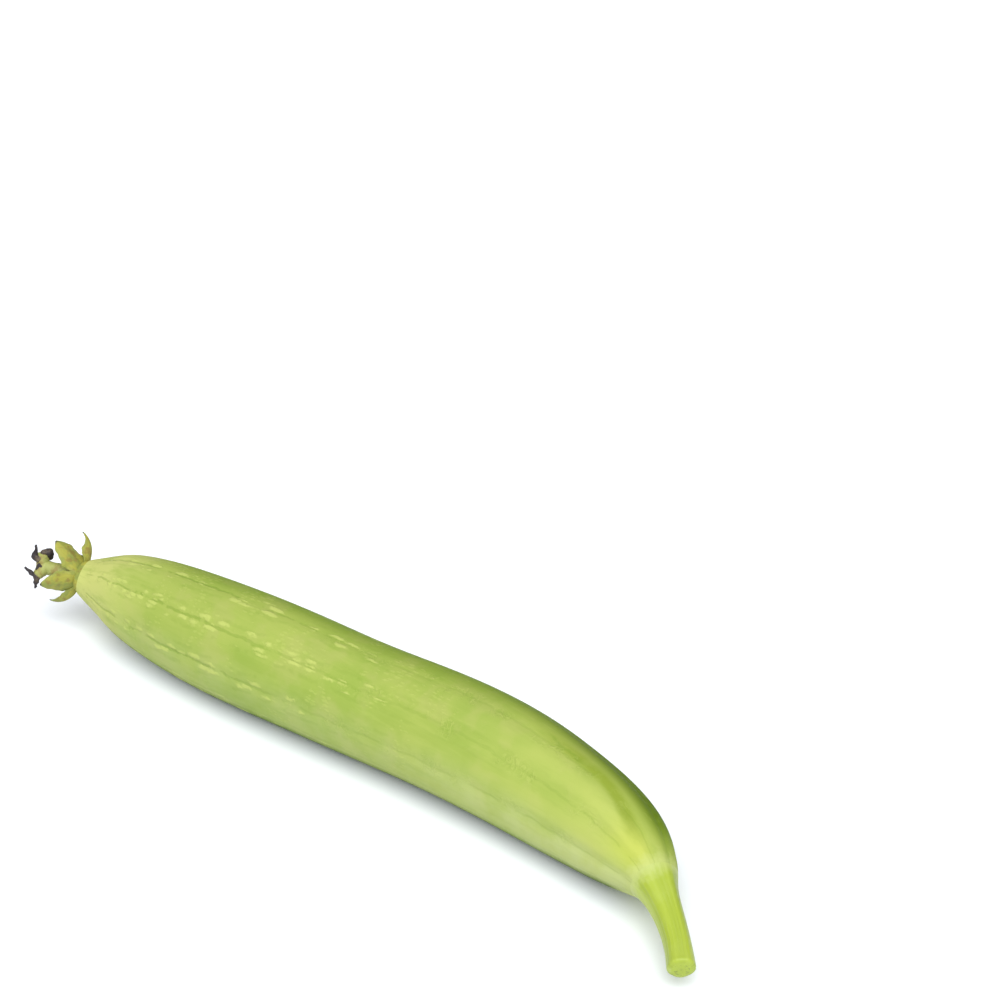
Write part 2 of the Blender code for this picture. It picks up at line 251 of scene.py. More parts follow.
class GOURD_PG_stem(bpy.types.PropertyGroup):
    """Colours of the stem and its cut."""

    stem_green: colour("Stem green", "Fresh green of the stem", (0.325, 0.41, 0.04))
    fibre_pale: colour("Fibre", "Pale fibres along the stem", (0.42, 0.50, 0.13))
    # Also painted shade on one facet of the stem, darker towards the fruit and fading before the cut.
    facet_green_and_shade: colour("Facet green", "Deeper green between the ridges", (0.235, 0.315, 0.028))
    collar_pale: colour("Collar", "Pale collar where the stem leaves the fruit", (0.44, 0.50, 0.17))
    cut_pale: colour("Cut", "Fresh cut at the end", (0.35, 0.44, 0.05))
    bundle_dark: colour("Bundles", "Dots in the cut", (0.22, 0.28, 0.05))


class GOURD_PG_calyx(bpy.types.PropertyGroup):
    """Colours and thickness of the calyx."""

    leaf_olive: colour("Leaf olive", "Main colour of the sepals", (0.32, 0.31, 0.045))
    leaf_green: colour("Leaf green", "Greener parts of the sepals", (0.215, 0.25, 0.05))
    leaf_brown: colour("Leaf brown", "Dry papery patches", (0.22, 0.155, 0.035))
    tip_grey: colour("Tip grey", "Withered tips", (0.06, 0.055, 0.035))
    blade_thickness: length("Blade thickness", "Thickness of a sepal", 0.00045)


class GOURD_PG_style(bpy.types.PropertyGroup):
    """Colours and relief of the withered style."""

    column_green: colour("Column green", "Green of the style's column and stalks", (0.33, 0.36, 0.10))
    column_tan: colour("Column tan", "Drying patches of the column", (0.27, 0.225, 0.06))
    withered_brown: colour("Withered brown", "Where the stigmas start to wither", (0.10, 0.075, 0.05))
    withered_black: colour("Withered black", "Horns of the stigmas", (0.022, 0.016, 0.018))
    crumple: length("Crumple", "Depth of the stigmas' wrinkles", 0.0009)


class GOURD_PG_stage(bpy.types.PropertyGroup):
    """The floor and the light."""

    floor_size: length("Floor size", "Side of the floor", 8.0)
    floor_white: colour("Floor white", "Colour of the floor", (0.87, 0.90, 0.945))
    key_strength: strength("Key strength", "Strength of the soft key light", 2.57)
    key_spread: bpy.props.FloatProperty(
        name="Key spread", description="Width of the key light", subtype="ANGLE", default=math.radians(55)
    )
    front_sky: strength("Front sky", "Strength of the surrounding light high on the camera's side", 1.47)
    back_sky: strength("Back sky", "Strength of the surrounding light on the far side", 0.33)


def natural_bends(at, rows):
    """Second derivatives of the natural cubic spline through the rows."""
    count, h = len(at), np.diff(at)
    left, right = np.eye(count), np.zeros_like(rows)
    for i in range(1, count - 1):
        left[i, i - 1 : i + 2] = h[i - 1] / 6, (h[i - 1] + h[i]) / 3, h[i] / 6
        right[i] = (rows[i + 1] - rows[i]) / h[i] - (rows[i] - rows[i - 1]) / h[i - 1]
    return np.linalg.solve(left, right)


def station_distances(stations):
    """How far along the curve each station lies."""
    rows = np.array(stations, float)
    return np.concatenate([[0.0], np.cumsum(np.linalg.norm(np.diff(rows[:, :3], axis=0), axis=1))])


def on_curve(stations, distances):
    """A row of x, y, z and radius for each distance along the smooth curve through the stations."""
    rows, at = np.array(stations, float), station_distances(stations)
    bends = natural_bends(at, rows)
    s = np.clip(distances, 0.0, at[-1])
    i = np.clip(np.searchsorted(at, s, side="right") - 1, 0, len(at) - 2)
    h = (at[i + 1] - at[i])[:, None]
    a, b = (at[i + 1] - s)[:, None] / h, (s - at[i])[:, None] / h
    return a * rows[i] + b * rows[i + 1] + ((a**3 - a) * bends[i] + (b**3 - b) * bends[i + 1]) * h * h / 6


def unit(vectors):
    """The vectors, each one long."""
    return vectors / np.linalg.norm(vectors, axis=-1, keepdims=True)


def frames_on(stations, distances):
    """Places on a curve, the directions ahead, down and to the -Y side of each, and the radius there."""
    distances = np.atleast_1d(np.asarray(distances, float))
    here = on_curve(stations, distances)
    ahead = unit((on_curve(stations, distances + STEP) - on_curve(stations, distances - STEP))[:, :3])
    side = unit(np.cross(ahead, UP))
    return here[:, :3], ahead, unit(np.cross(ahead, side)), side, here[:, 3]


def eased_table(rows, share):
    """Each column of a table at the given shares, eased from row to row."""
    table = np.array(rows)
    i = np.clip(np.searchsorted(table[:, 0], share) - 1, 0, len(table) - 2)
    t = (share - table[i, 0]) / (table[i + 1, 0] - table[i, 0])
    t = (t * t * (3 - 2 * t))[:, None]
    return (table[i, 1:] * (1 - t) + table[i + 1, 1:] * t).T


def select_only(*objects):
    """Selects these objects and nothing else."""
    bpy.ops.object.select_all(action="DESELECT")
    for made in objects:
        made.select_set(True)
    bpy.context.view_layer.objects.active = objects[0]


def select_parts(piece, kind, wanted):
    """In edit mode, selects only the faces or the edges for which wanted holds."""
    bpy.ops.mesh.select_mode(type=kind)
    bpy.ops.mesh.select_all(action="DESELECT")
    shape = bmesh.from_edit_mesh(piece.data)
    for part in shape.faces if kind == "FACE" else shape.edges:
        if wanted(part):
            part.select_set(True)
    bmesh.update_edit_mesh(piece.data)


def is_upright(edge):
    """Whether an edge runs along the axis of a cylinder."""
    start, end = (v.co for v in edge.verts)
    return (start - end).to_2d().length < 1e-7


def is_cap(face):
    """Whether a face lies on an end of a cylinder."""
    return abs(face.normal.z) > 0.5


def add_tube(name, middle, radius, depth, sides, ring_cuts, cap_rings, shape_of):
    """A cylinder with rings cut along it and rings inset in its ends, then moved onto its real form.

    ring_cuts holds the number of cuts of each round of subdividing. shape_of takes each vertex's share of the
    length, its angle and its share of the radius, and gives its place in millimetres.
    """
    bpy.ops.object.select_all(action="DESELECT")
    bpy.ops.mesh.primitive_cylinder_add(
        vertices=sides, radius=radius * MM, depth=depth * MM, end_fill_type="NGON", location=middle * MM
    )
    piece = bpy.context.object
    piece.name = piece.data.name = name
    bpy.ops.object.mode_set(mode="EDIT")
    for cuts in ring_cuts:
        select_parts(piece, "EDGE", is_upright)
        bpy.ops.mesh.subdivide(number_cuts=cuts)
    select_parts(piece, "FACE", is_cap)
    for _ in range(cap_rings):
        bpy.ops.mesh.inset(thickness=radius * MM / (cap_rings + 1))
    bpy.ops.mesh.poke()
    bpy.ops.object.mode_set(mode="OBJECT")
    flat = read_places(piece) / MM
    share = np.clip(flat[:, 2] / depth + 0.5, 0, 1)
    angle = np.arctan2(flat[:, 1], flat[:, 0]) % (2 * math.pi)
    rim = np.minimum(np.hypot(flat[:, 0], flat[:, 1]) / radius, 1.0)
    put_places(piece, shape_of(share, angle, rim))
    wrap_uv(piece, angle / (2 * math.pi), share + np.where(share > 0.5, 0.5, -0.5) * (1 - rim))
    close_up(piece)
    return piece


def read_places(piece):
    """The piece's vertices as an array."""
    places = np.zeros(len(piece.data.vertices) * 3, np.float32)
    piece.data.vertices.foreach_get("co", places)
    return places.reshape(-1, 3).astype(float)


def put_places(piece, places):
    """Moves the piece's vertices to these places in millimetres, and its object to the origin."""
    piece.matrix_world = Matrix.Identity(4)
    piece.data.vertices.foreach_set("co", (places * MM).astype(np.float32).ravel())
    piece.data.update()


def corner_vertices(mesh):
    """The vertex at each corner of the mesh's faces."""
    corners = np.zeros(len(mesh.loops), np.int32)
    mesh.loops.foreach_get("vertex_index", corners)
    return corners


def wrap_uv(piece, around, along):
    """A UV map from how far round and how far along each vertex is. The faces over the seam read on past 1."""
    mesh = piece.data
    corners = corner_vertices(mesh)
    starts = np.zeros(len(mesh.polygons), np.int32)
    mesh.polygons.foreach_get("loop_start", starts)
    u, v = around[corners], along[corners]
    totals = np.diff(np.append(starts, len(corners)))
    low, high = np.minimum.reduceat(u, starts), np.maximum.reduceat(u, starts)
    over_seam = np.repeat(high - low > 0.5, totals)
    u = np.where(over_seam & (u < 0.5), u + 1, u)
    layer = mesh.uv_layers.active or mesh.uv_layers.new(name="UVMap")
    layer.data.foreach_set("uv", np.stack([u, v], axis=1).astype(np.float32).ravel())


def close_up(piece):
    """Merges doubled vertices and turns all faces outwards."""
    select_only(piece)
    bpy.ops.object.mode_set(mode="EDIT")
    bpy.ops.mesh.select_all(action="SELECT")
    bpy.ops.mesh.remove_doubles(threshold=0.000001)
    bpy.ops.mesh.normals_make_consistent(inside=False)
    bpy.ops.object.mode_set(mode="OBJECT")
    bpy.ops.object.shade_smooth_by_angle(angle=math.radians(50))


def apply_modifier(piece, kind, **settings):
    """Adds a modifier with these settings and applies it."""
    select_only(piece)
    added = piece.modifiers.new(kind.lower(), kind)
    for name, value in settings.items():
        setattr(added, name, value)
    bpy.ops.object.modifier_apply(modifier=added.name)


def crumple(piece, depth, size, name):
    """Wrinkles a piece with a cloud texture of that size."""
    clouds = bpy.data.textures.new(name, "CLOUDS")
    clouds.noise_scale = size
    clouds.noise_depth = 2
    apply_modifier(piece, "DISPLACE", texture=clouds, strength=depth, mid_level=0.5, texture_coords="LOCAL")


def join(name, pieces):
    """Joins the pieces in one object."""
    select_only(*pieces)
    bpy.ops.object.join()
    pieces[0].name = pieces[0].data.name = name
    return pieces[0]


def hand_over(piece, node, finish):
    """Gives a finished piece its material, and lets it stand for its solid."""
    piece.data.materials.clear()
    piece.data.materials.append(finish)
    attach(piece, "root")
    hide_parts(node)


def ways_round(first, second, angle):
    """Directions that turn from the first way towards the second by these angles."""
    return first * np.cos(angle)[:, None] + second * np.sin(angle)[:, None]


def skin_relief(share, angle):
    """How far the skin lies off a round section. The angle is 0 at the bottom and a quarter turn at -Y."""
    depth, sharpness = eased_table(GROOVE_ROWS, share)
    crest = 0.5 + 0.5 * np.cos(GROOVES * (angle - FIRST_GROOVE))
    fade = np.sin(math.pi * np.clip(share, 0, 1)) ** 0.5
    swell = sum(
        height * np.sin(around * angle + along * math.pi * share + phase)
        for height, around, along, phase in SWELLINGS
    )
    return swell * fade - depth * crest**sharpness


def fruit_form(share, angle, rim):
    """The skin of the fruit. Its rings stand closer at both ends, where the outline turns fastest."""
    share = share - RING_CROWDING * np.sin(2 * math.pi * share) / (2 * math.pi)
    end = station_distances(FRUIT)[-1]
    here, ahead, down, side, radius = frames_on(FRUIT + STEM, share * end)
    reach = (radius + skin_relief(share, angle)) * rim
    outwards = ways_round(down, side, angle)
    bulge = np.where(share > 0.5, 0.8, -0.8) * GAP * (1 - rim**6)
    places = BLOSSOM_END + here + outwards * reach[:, None] + ahead * bulge[:, None]
    places[:, 2] = np.maximum(places[:, 2], 0.0)
    return places


def stem_form(share, angle, rim):
    """The ridged stem: a flared foot on the fruit, fine fibres, and a cut with a worn edge."""
    start, end = station_distances(FRUIT)[-1], station_distances(FRUIT + STEM)[-1]
    distance = start + (end + CUT_REACH - start) * share
    here, ahead, down, side, radius = frames_on(FRUIT + STEM, np.minimum(distance, end))
    worn = np.clip((distance - end - CUT_REACH) / CUT_ROUNDING + 1, 0, 1)
    ridged = STEM_RIDGE_SHARE * np.minimum(1, share * 8) * (1 - 0.5 * share) * np.cos(STEM_RIDGES * angle)
    reach = radius * (1 + ridged) - CUT_ROUNDING * (1 - np.sqrt(1 - worn**2))
    reach += FIBRE_HEIGHT * np.cos(STEM_FIBRES * angle + 2.0 * np.sin(5 * share + angle))
    outwards = ways_round(down, side, angle)
    past = np.maximum(distance - end, 0) + np.where(share > 0.5, 0.15, 0) * (1 - rim**2)
    return BLOSSOM_END + here + outwards * (reach * rim)[:, None] + ahead * past[:, None]


def calyx_frame():
    """The middle of the blossom end, the way that the calyx points, and its up and -Y directions."""
    here, ahead, down, side, _ = frames_on(FRUIT + STEM, 0.0)
    return BLOSSOM_END + here[0], -ahead[0], -down[0], side[0]


def bent_line(start, axis, radial, root_lean, tip_lean, reach):
    """A point for each row of a sepal, on a line that turns evenly off the axis, and its direction at each."""
    ways = ways_round(axis, radial, np.radians(np.linspace(root_lean, tip_lean, SEPAL_ROWS + 1)))
    places = start + np.concatenate([np.zeros((1, 3)), np.cumsum(ways[:-1] * reach / SEPAL_ROWS, axis=0)])
    return places, ways


def cup_form(share, angle, rim):
    """The calyx cup on the blossom end: a low ring with five soft lobes and a hollow floor."""
    centre, axis, up, side = calyx_frame()
    height = GAP * 0.5 + (CALYX_LENGTH - GAP * 0.5) * share
    radius = CALYX_RADIUS + (CALYX_MOUTH - CALYX_RADIUS) * share**1.6
    radius += LOBE_HEIGHT * np.cos(len(SEPALS) * angle) * np.sin(math.pi * share)
    radius -= MOUTH_ROUNDING * np.clip((share - 0.85) / 0.15, 0, 1) ** 2
    hollow = np.where(share > 0.5, FLOOR_DEPTH, 0) * (1 - rim**2)
    outwards = ways_round(up, side, angle)
    return centre + axis * (height - hollow)[:, None] + outwards * (radius * rim)[:, None]


def sepal_width(share, point):
    """A sepal's width as a share of its greatest: fullest at a third to a half of the way, then to its tip."""

    def outline(at):
        return (1 - at) ** point * (0.60 + 1.5 * at)

    return outline(share) / np.max(outline(np.linspace(0, 1, 101)))


def add_sepal(number, sepal, thickness):
    """One sepal: a grid bent to a cupped blade with a midrib and a wavy edge, given its thickness."""
    bpy.ops.object.select_all(action="DESELECT")
    bpy.ops.mesh.primitive_grid_add(x_subdivisions=SEPAL_COLUMNS, y_subdivisions=SEPAL_ROWS, size=2)
    piece = bpy.context.object
    piece.name = piece.data.name = f"sepal_{number}"
    flat = read_places(piece)
    spread, step = flat[:, 0], np.rint((flat[:, 1] / 2 + 0.5) * SEPAL_ROWS).astype(int)
    share = step / SEPAL_ROWS
    centre, axis, up, side = calyx_frame()
    turn = math.radians(sepal.place)
    radial = up * math.cos(turn) + side * math.sin(turn)
    across = unit(np.cross(axis, radial))
    root = centre + axis * (CALYX_LENGTH * 0.5) + radial * (CALYX_MOUTH - SEPAL_ROOT)
    places, ways = bent_line(root, axis, radial, sepal.root_lean, sepal.tip_lean, sepal.length + SEPAL_ROOT)
    half = np.maximum(sepal.width / 2 * sepal_width(share, sepal.point), SEPAL_TIP)
    edge_wave = 0.07 * np.sin(13 * share + 5 * spread + number) + 0.05 * np.sin(29 * share + 2 * number)
    half = half * (1 + edge_wave * np.abs(spread) * np.minimum(1, share * 5))
    inwards = np.cross(ways, across)[step]
    rise = half * sepal.cupping * np.minimum(1.0, share / FLAT_ROOT) * spread**2
    curl = np.abs(spread) ** 1.5 * np.sin(9 * share + 2.4 * spread + 1.7 * number) * np.sin(math.pi * share)
    rise += SEPAL_CURL * curl + SEPAL_LIFT
    rise -= MIDRIB_DEPTH * np.exp(-((spread / 0.12) ** 2)) * (1 - share) * share
    put_places(piece, places[step] + across * (half * spread)[:, None] + inwards * rise[:, None])
    apply_modifier(piece, "SOLIDIFY", thickness=thickness, offset=0.0)
    apply_modifier(piece, "SUBSURF", levels=1, render_levels=1)
    close_up(piece)
    return piece


def tube_form(places, ways, radii):
    """The form of a round tube through the places, for a cylinder that has a ring at each of them."""
    downs, sides, reference = [], [], UP
    for way in ways:
        side = unit(np.cross(way, reference))
        reference = unit(np.cross(side, way))
        sides.append(side)
        downs.append(reference)
    downs, sides, radii = np.array(downs), np.array(sides), np.array(radii)

    def form(share, angle, rim):
        ring = np.rint(share * (len(places) - 1)).astype(int)
        outwards = ways_round(downs[ring], sides[ring], angle)
        bulge = np.where(share > 0.5, 1, -1) * LIMB_BULGE * radii[ring] * (1 - rim**2)
        return places[ring] + outwards * (radii[ring] * rim)[:, None] + ways[ring] * bulge[:, None]

    return form


def mark_withered(piece, start, end):
    """A colour attribute that says how withered a tube is, from its foot to its tip, read from its UV map."""
    mesh = piece.data
    uv = np.zeros(len(mesh.loops) * 2, np.float32)
    mesh.uv_layers.active.data.foreach_get("uv", uv)
    values = np.zeros(len(mesh.vertices), np.float32)
    values[corner_vertices(mesh)] = start + (end - start) * np.clip(uv.reshape(-1, 2)[:, 1], 0, 1)
    layer = mesh.attributes.new("withered", "FLOAT", "POINT")
    layer.data.foreach_set("value", values)


def add_limb(name, stations, knotted, withered, depth, size):
    """A round limb of the style through its stations, wrinkled, and marked with how withered its ends are."""
    centre, axis, up, side = calyx_frame()
    reach = station_distances(stations)[-1]
    rows = on_curve(stations, np.linspace(0, reach, LIMB_RINGS + 1))
    places = centre + axis * (CALYX_LENGTH - GAP) + rows[:, :3] @ np.array((axis, up, side))
    ways = unit(np.gradient(places, axis=0))
    wave = np.sin(2 * math.pi * KNOTS * np.linspace(0, 1, LIMB_RINGS + 1) + len(name))
    form = tube_form(places, ways, rows[:, 3] * (1 + knotted * wave))
    limb = add_tube(name, places[0], rows[0, 3], reach, *LIMB_MESH, form)
    mark_withered(limb, *withered)
    crumple(limb, depth, size, f"{name}_wrinkles")
    return limb


def feed(tree, socket, value):
    """Links an output to a socket, or sets the socket's own number, vector or colour."""
    if isinstance(value, bpy.types.NodeSocket):
        tree.links.new(value, socket)
    else:
        socket.default_value = value


def node(tree, kind, sockets=(), **settings):
    """Adds a shader node with its settings, and feeds its sockets from pairs of socket and value."""
    made = tree.nodes.new("ShaderNode" + kind)
    for name, value in settings.items():
        setattr(made, name, value)
    for socket, value in sockets:
        feed(tree, made.inputs[socket], value)
    return made


def calculate(tree, operation, *values):
    """The result of a math node."""
    return node(tree, "Math", enumerate(values), operation=operation).outputs[0]


def product(tree, *shares):
    """Several shares multiplied."""
    total = shares[0]
    for share in shares[1:]:
        total = calculate(tree, "MULTIPLY", total, share)
    return total


def scaled(tree, value, factor, plus):
    """A value times a factor, plus another value."""
    return calculate(tree, "MULTIPLY_ADD", value, factor, plus)


def relief(tree, *parts):
    """A height summed from pairs of a value and what it counts for."""
    total = 0.0
    for value, weight in parts:
        total = scaled(tree, value, weight, total)
    return total


def off_middle(tree, value, middle):
    """How far a value is from a middle."""
    return calculate(tree, "ABSOLUTE", calculate(tree, "SUBTRACT", value, middle))


def off_nearest(tree, count):
    """How far a count is from the nearest whole number."""
    return off_middle(tree, calculate(tree, "FRACT", calculate(tree, "ADD", count, 0.5)), 0.5)


def eased(tree, value, low, high, to_low=0.0, to_high=1.0):
    """A value eased from to_low at low to to_high at high."""
    sockets = (("Value", value), ("From Min", low), ("From Max", high), ("To Min", to_low), ("To Max", to_high))
    return node(tree, "MapRange", sockets, interpolation_type="SMOOTHSTEP").outputs[0]


def span(tree, value, *rows):
    """A share that comes and goes with a value, by rows of from and to, or of from, to, and the shares there."""
    return product(tree, *(eased(tree, value, *row) for row in rows))


def band_on(tree, value, middle, outer, inner):
    """A soft band: 1 within inner of the middle, and 0 from outer on."""
    return eased(tree, off_middle(tree, value, middle), outer, inner)


def painted(tree, now, *coats):
    """A colour with coats laid over it in turn, each of them a paint and the shares that thin it."""
    for paint, *shares in coats:
        sockets = ((0, product(tree, *shares)), (6, now), (7, paint))
        now = node(tree, "Mix", sockets, data_type="RGBA").outputs[2]
    return now


def on_vector(tree, operation, *values):
    """The vector that a vector math node gives."""
    return node(tree, "VectorMath", enumerate(values), operation=operation).outputs[0]


def cells_on(tree, around, along, count_around, count_along):
    """A flat vector that counts cells round and along a piece."""
    sockets = ((0, product(tree, around, count_around)), (1, product(tree, along, count_along)))
    return node(tree, "CombineXYZ", sockets).outputs[0]


def noise_on(tree, vector, scale, detail=2.0, roughness=0.5, distortion=0.0, output=0):
    """The value of a noise texture, or another of its outputs."""
    names = ("Vector", "Scale", "Detail", "Roughness", "Distortion")
    return node(tree, "TexNoise", zip(names, (vector, scale, detail, roughness, distortion))).outputs[output]


def new_group(name, **inputs):
    """A shader node group with these inputs and their defaults, None for a vector, and one output value."""
    tree = bpy.data.node_groups.new(name, "ShaderNodeTree")
    for label, default in inputs.items():
        kind = "NodeSocketVector" if default is None else "NodeSocketFloat"
        socket = tree.interface.new_socket(name=label, in_out="INPUT", socket_type=kind)
        if default is not None:
            socket.default_value = default
    tree.interface.new_socket(name="Share", in_out="OUTPUT", socket_type="NodeSocketFloat")
    return tree, tree.nodes.new("NodeGroupInput").outputs, tree.nodes.new("NodeGroupOutput").inputs["Share"]


def use_group(tree, name, **inputs):
    """Places a group in a material with its own values, and gives its output."""
    made = tree.nodes.new("ShaderNodeGroup")
    made.node_tree = bpy.data.node_groups[name]
    for label, value in inputs.items():
        feed(tree, made.inputs[label], value)
    return made.outputs[0]


def make_line_group():
    """Thin lines along a piece. Across counts line spacings round it. The lines wander, and break off in gaps."""
    tree, given, share = new_group(
        "lengthwise_lines", Across=0.0, Position=None, Width=0.03, Softness=0.02, Wander=0.1, Sway=90.0, Gaps=0.5
    )
    sway = calculate(tree, "SUBTRACT", noise_on(tree, given["Position"], given["Sway"], 3.0, 0.6), 0.5)
    moved = scaled(tree, sway, given["Wander"], given["Across"])
    outer = calculate(tree, "ADD", given["Width"], given["Softness"])
    line = eased(tree, off_nearest(tree, moved), outer, given["Width"])
    breaks = noise_on(tree, given["Position"], 95.0, 3.0, 0.65)
    kept = eased(tree, breaks, calculate(tree, "SUBTRACT", given["Gaps"], 0.12), given["Gaps"])
    feed(tree, share, product(tree, line, kept))


def make_fleck_group():
    """Separate flecks, one to a cell of the vector, of random size. Shape roughens their outline."""
    tree, given, share = new_group("flecks", Vector=None, Position=None, Size=0.3, Softness=0.1, Shape=0.9)
    rough = noise_on(tree, given["Position"], 330.0, 3.0, 0.6, output="Color")
    pushed = on_vector(tree, "SUBTRACT", rough, (0.5, 0.5, 0.5))
    pushed = node(tree, "VectorMath", ((0, pushed), ("Scale", given["Shape"])), operation="SCALE").outputs[0]
    spot = on_vector(tree, "ADD", given["Vector"], pushed)
    sockets = (("Vector", spot), ("Scale", 1.0), ("Randomness", 0.85))
    cells = node(tree, "TexVoronoi", sockets, voronoi_dimensions="2D").outputs
    chance = node(tree, "SeparateColor", ((0, cells["Color"]),)).outputs[0]
    size = product(tree, eased(tree, chance, 0.15, 1.0), given["Size"])
    fleck = eased(tree, cells[0], calculate(tree, "ADD", size, given["Softness"]), size)
    feed(tree, share, product(tree, fleck, calculate(tree, "GREATER_THAN", size, 0.03)))


def make_patch_group():
    """Soft patches: noise at a scale, eased between a low and a high value."""
    tree, given, share = new_group("patches", Vector=None, Scale=40.0, Detail=3.0, Low=0.4, High=0.6)
    cloud = noise_on(tree, given["Vector"], given["Scale"], given["Detail"], 0.55)
    feed(tree, share, eased(tree, cloud, given["Low"], given["High"]))


def make_grain_group():
    """Fine grain of a plant's skin: two sizes of noise, from 0 to 1."""
    tree, given, share = new_group("fine_grain", Vector=None, Scale=900.0)
    coarse = noise_on(tree, given["Vector"], given["Scale"], 2.0, 0.6)
    fine = noise_on(tree, given["Vector"], product(tree, given["Scale"], 2.7), 1.0)
    feed(tree, share, relief(tree, (coarse, 0.6), (fine, 0.4)))


def patches(tree, vector, scale, low, high, detail=3.0):
    """Soft patches of the shared group."""
    return use_group(tree, "patches", Vector=vector, Scale=scale, Low=low, High=high, Detail=detail)


def lines_on(tree, place, across, width, softness, wander, gaps, sway=90.0):
    """Thin lines of the shared group."""
    values = dict(Across=across, Width=width, Softness=softness, Wander=wander, Sway=sway, Gaps=gaps)
    return use_group(tree, "lengthwise_lines", Position=place, **values)


def collar_share(tree, around):
    """How strong the pale collar is: most on the side that faces the bend's hollow."""
    return scaled(tree, band_on(tree, around, *COLLAR_BAND), 0.25, 0.55)


def new_material(name):
    """A node material, its tree, the object coordinates, and the two parts of the UV map."""
    made = bpy.data.materials.new(name)
    made.use_nodes = True
    tree = made.node_tree
    place = tree.nodes.new("ShaderNodeTexCoord").outputs["Object"]
    uv = node(tree, "SeparateXYZ", ((0, tree.nodes.new("ShaderNodeUVMap").outputs[0]),)).outputs
    return made, tree, place, uv[0], uv[1]


def set_surface(made, values):
    """Feeds inputs of the material's shader, and gives the material."""
    for socket, value in values.items():
        feed(made.node_tree, made.node_tree.nodes["Principled BSDF"].inputs[socket], value)
    return made


def finished(made, paint, grain, rough, gloss, height, distance=MM):
    """Gives a material its colour, a roughness between two values by the grain, its gloss and its relief."""
    tree = made.node_tree
    rough = eased(tree, grain, 0.3, 0.7, *rough)
    bump = node(tree, "Bump", (("Strength", 1.0), ("Distance", distance), ("Height", height))).outputs[0]
    values = {"Base Color": paint, "Roughness": rough, "Specular IOR Level": gloss, "Normal": bump}
    return set_surface(made, values)


def skin_mottling(tree, s, place):
    """The skin's first coats in soft patches, and the streaks that run along it."""
    streaks = patches(tree, on_vector(tree, "MULTIPLY", place, (22.0, 190.0, 190.0)), 1.0, 0.45, 0.75, 4.0)
    coats = (
        (s.body_yellow, patches(tree, place, 26.0, 0.38, 0.62)),
        (s.shade_green, streaks, 0.35),
        (s.shade_green, patches(tree, place, 120.0, 0.5, 0.8, 4.0), 0.25),
        (s.body_beige, patches(tree, place, 70.0, 0.48, 0.66), 0.45),
    )
    return painted(tree, s.body_green, *coats), streaks


def skin_near_stem(tree, s, now, place, around, along, off_line):
    """Broad ridges and valleys, partly painted light and shade, a paler lower side, and a warm shoulder above the
    stem.
    """
    near_stem = eased(tree, along, 0.54, 0.88)
    uneven = patches(tree, place, 34.0, 0.35, 0.65)
    paler_below = product(tree, band_on(tree, around, *PALER_SIDE_BAND), eased(tree, along, 0.52, 0.78, 0.4, 1.0))
    mottled = scaled(tree, patches(tree, place, 75.0, 0.25, 0.65, 4.0), 0.45, 0.25)
    coats = (
        # Partly own colour, partly painted light on the ridges and painted shade in the valleys.
        (s.ridge_yellow_and_light, near_stem, eased(tree, off_line, 0.12, 0.44, 0.65, 1.0), 0.75),
        (s.valley_green_and_shade, near_stem, eased(tree, off_line, 0.28, 0.03), uneven, 0.18),
        (s.side_pale, paler_below, mottled),
        (s.shoulder_yellow, band_on(tree, around, *SHOULDER_BAND), eased(tree, along, 0.84, 0.95), 0.38),
    )
    return painted(tree, now, *coats)


def skin_back(tree, s, now, place, around, along):
    """Back and rim in deeper green, partly own colour and partly painted shade; the olive stripe, scarred at its
    start.
    """
    middle = eased(tree, along, 0.78, 0.95, 0.511, 0.462)
    outer = eased(tree, along, 0.80, 0.95, 0.032, 0.055)
    uneven = eased(tree, noise_on(tree, place, 150.0, 3.0), 0.35, 0.6, 0.7, 1.0)
    stripe = product(tree, band_on(tree, around, middle, outer, 0.006), uneven)
    way = scaled(tree, noise_on(tree, place, 160.0, 3.0, 0.6), 0.05, around)
    # Painted shade along the upper back, partly the skin's own deeper green.
    back = span(tree, along, (0.02, 0.22), (0.70, 0.90, 0.7, 1.0), (1.0, 0.88, 0.35, 1.0))
    # Painted shade on the upper rim near the stem, partly the skin's own deepest green.
    rim = span(tree, along, (0.54, 0.76), (0.97, 0.83))
    coats = (
        (s.back_green_and_shade, band_on(tree, around, *BACK_SHADE_BAND), back),
        (s.rim_green_and_shade, band_on(tree, around, *RIM_SHADE_BAND), rim, 0.75),
        (s.stripe_olive, stripe, span(tree, along, (0.66, 0.76), (0.97, 0.88)), 0.7),
        (s.line_green, band_on(tree, way, *SCAR_BAND), band_on(tree, along, *SCAR_LENGTH), 0.32),
    )
    return painted(tree, now, *coats)


def skin_ends(tree, s, now, streaks, place, around, along):
    """The pale blossom end, painted underside shade, fine threads along the skin, and the speckled collar at the
    stem.
    """
    threads = noise_on(tree, on_vector(tree, "MULTIPLY", place, (45.0, 480.0, 480.0)), 1.0, 4.0, 0.65)
    collar_start = scaled(tree, noise_on(tree, place, 330.0, 3.0, 0.7), 0.09, 0.92)
    # Painted shade along the underside where the fruit meets the floor.
    belly = span(tree, along, (0.04, 0.12), (0.97, 0.88))
    coats = (
        (s.blossom_beige, eased(tree, along, 0.28, 0.10), eased(tree, streaks, 0.0, 1.0, 1.0, 0.5), 0.85),
        (s.belly_shade_green, band_on(tree, around, *BELLY_SHADE_BAND), belly, 0.9),
        (s.shade_green, eased(tree, threads, 0.50, 0.78, 0.0, 0.15)),
        (s.fleck_pale, eased(tree, threads, 0.46, 0.22, 0.0, 0.15)),
        (s.collar_pale, eased(tree, along, collar_start, 1.0), collar_share(tree, around)),
    )
    return painted(tree, now, *coats)


